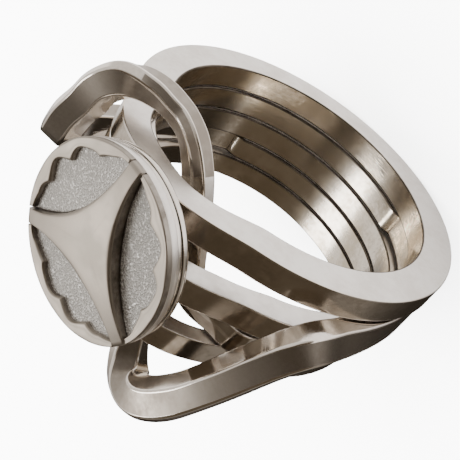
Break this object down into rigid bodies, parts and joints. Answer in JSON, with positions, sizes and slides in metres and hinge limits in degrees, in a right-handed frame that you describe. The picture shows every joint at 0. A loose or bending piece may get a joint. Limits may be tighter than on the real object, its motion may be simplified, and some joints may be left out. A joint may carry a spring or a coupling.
{
  "type": "puzzle ring",
  "caption": "Interlocking finger ring: flat hoops linked by two bowed bands, with a round relief medallion on the middle band.",
  "frame": {"origin": "centre of the finger bore, midway between the two side faces", "axes": "+Y along the finger bore, +Z from the finger's centre to the medallion, +X across the head"},
  "size_m": [0.0262, 0.0185, 0.0289],
  "materials": {
    "polished_metal": "polished white gold or silver, with satin side faces",
    "satin_metal": "satin brushed",
    "stippled_metal": "fine stippled ground, darkened in the corners"
  },
  "bodies": {
    "signet": {"signet_band": "polished_metal", "medallion_foot": "polished_metal", "medallion_bezel": "polished_metal", "medallion_plate": "stippled_metal", "medallion_figure": "satin_metal", "rim_border_a": "satin_metal", "rim_border_b": "satin_metal", "rim_border_c": "satin_metal"},
    "top": {"top_band": "polished_metal"},
    "second": {"second_band": "polished_metal"},
    "fourth": {"fourth_band": "polished_metal"},
    "bottom": {"bottom_band": "polished_metal"}
  },
  "joints": [
    {"name": "top_swing", "type": "hinge", "parent": "signet", "child": "top", "pos_m": [0, 0.00308, -0.01244], "axis": [-1, 0, 0], "range_deg": [0, 0.8]},
    {"name": "bottom_swing", "type": "hinge", "parent": "signet", "child": "bottom", "pos_m": [0, -0.00308, -0.01244], "axis": [1, 0, 0], "range_deg": [0, 3]},
    {"name": "second_swivel", "type": "hinge", "parent": "signet", "child": "second", "pos_m": [0, 0, 0], "axis": [0, 1, 0], "range_deg": [0, 4]},
    {"name": "fourth_swivel", "type": "hinge", "parent": "signet", "child": "fourth", "pos_m": [0, 0, 0], "axis": [0, 1, 0], "range_deg": [-4, 0]}
  ]
}
